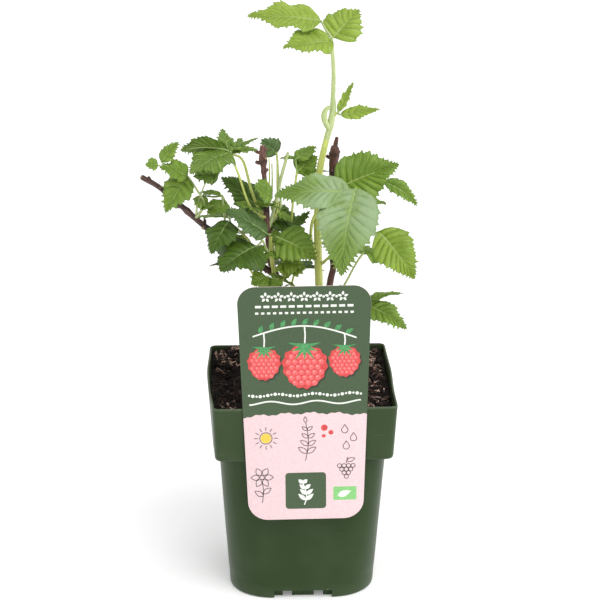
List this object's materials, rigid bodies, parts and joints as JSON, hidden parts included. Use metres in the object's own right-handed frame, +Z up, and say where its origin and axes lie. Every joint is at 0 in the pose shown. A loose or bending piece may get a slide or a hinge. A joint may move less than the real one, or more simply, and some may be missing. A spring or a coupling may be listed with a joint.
{
  "type": "raspberry plant in a pot",
  "caption": "Young raspberry with woody canes, a green shoot and toothed leaves, growing in a square plastic nursery pot with a hang label.",
  "frame": {"origin": "on the floor under the pot's middle, on the flat underside of the pot", "axes": "+Z up along the plant, +X to the right as the label is looked at, and the label faces -Y"},
  "size_m": [0.1905, 0.1311, 0.413],
  "materials": {
    "pot": "satin dark green",
    "soil": "moist dark potting soil with bark fibres",
    "label": "printed card, green above and pale pink below",
    "bark": "thin red-brown bark",
    "shoot": "soft green stem",
    "leaf": "toothed, veined leaves"
  },
  "bodies": {
    "root": {"centre_cane": "bark", "green_shoot": "shoot", "label": "label", "leaf_back_centre": "leaf", "leaf_back_left": "leaf", "leaf_back_low": "leaf", "leaf_back_low_left": "leaf", "leaf_back_low_right": "leaf", "leaf_back_right": "leaf", "leaf_cane": "leaf", "leaf_cane_top": "leaf", "leaf_centre_back": "leaf", "leaf_centre_left": "leaf", "leaf_centre_right": "leaf", "leaf_centre_top": "leaf", "leaf_front": "leaf", "leaf_left_inner": "leaf", "leaf_left_mid": "leaf", "leaf_left_tip": "leaf", "leaf_low_front": "leaf", "leaf_low_left": "leaf", "leaf_low_right": "leaf", "leaf_node": "leaf", "leaf_right_low": "leaf", "leaf_small_left": "leaf", "leaf_small_right": "leaf", "leaf_top": "leaf", "leaf_upper_left": "leaf", "leaf_upper_right": "leaf", "left_cane": "bark", "pot": "pot", "right_cane": "bark", "side_shoot": "shoot", "soil": "soil", "stalk_back_centre": "shoot", "stalk_back_left": "shoot", "stalk_back_low": "shoot", "stalk_back_low_left": "shoot", "stalk_back_low_right": "shoot", "stalk_back_right": "shoot", "stalk_cane": "shoot", "stalk_cane_top": "shoot", "stalk_centre_back": "shoot", "stalk_centre_right": "shoot", "stalk_centre_top": "shoot", "stalk_front": "shoot", "stalk_left_inner": "shoot", "stalk_left_mid": "shoot", "stalk_left_tip": "shoot", "stalk_low_front": "shoot", "stalk_low_left": "shoot", "stalk_low_right": "shoot", "stalk_right_low": "shoot", "stalk_small_left": "shoot", "stalk_small_right": "shoot", "stalk_upper_left": "shoot", "stalk_upper_right": "shoot"}
  },
  "joints": []
}
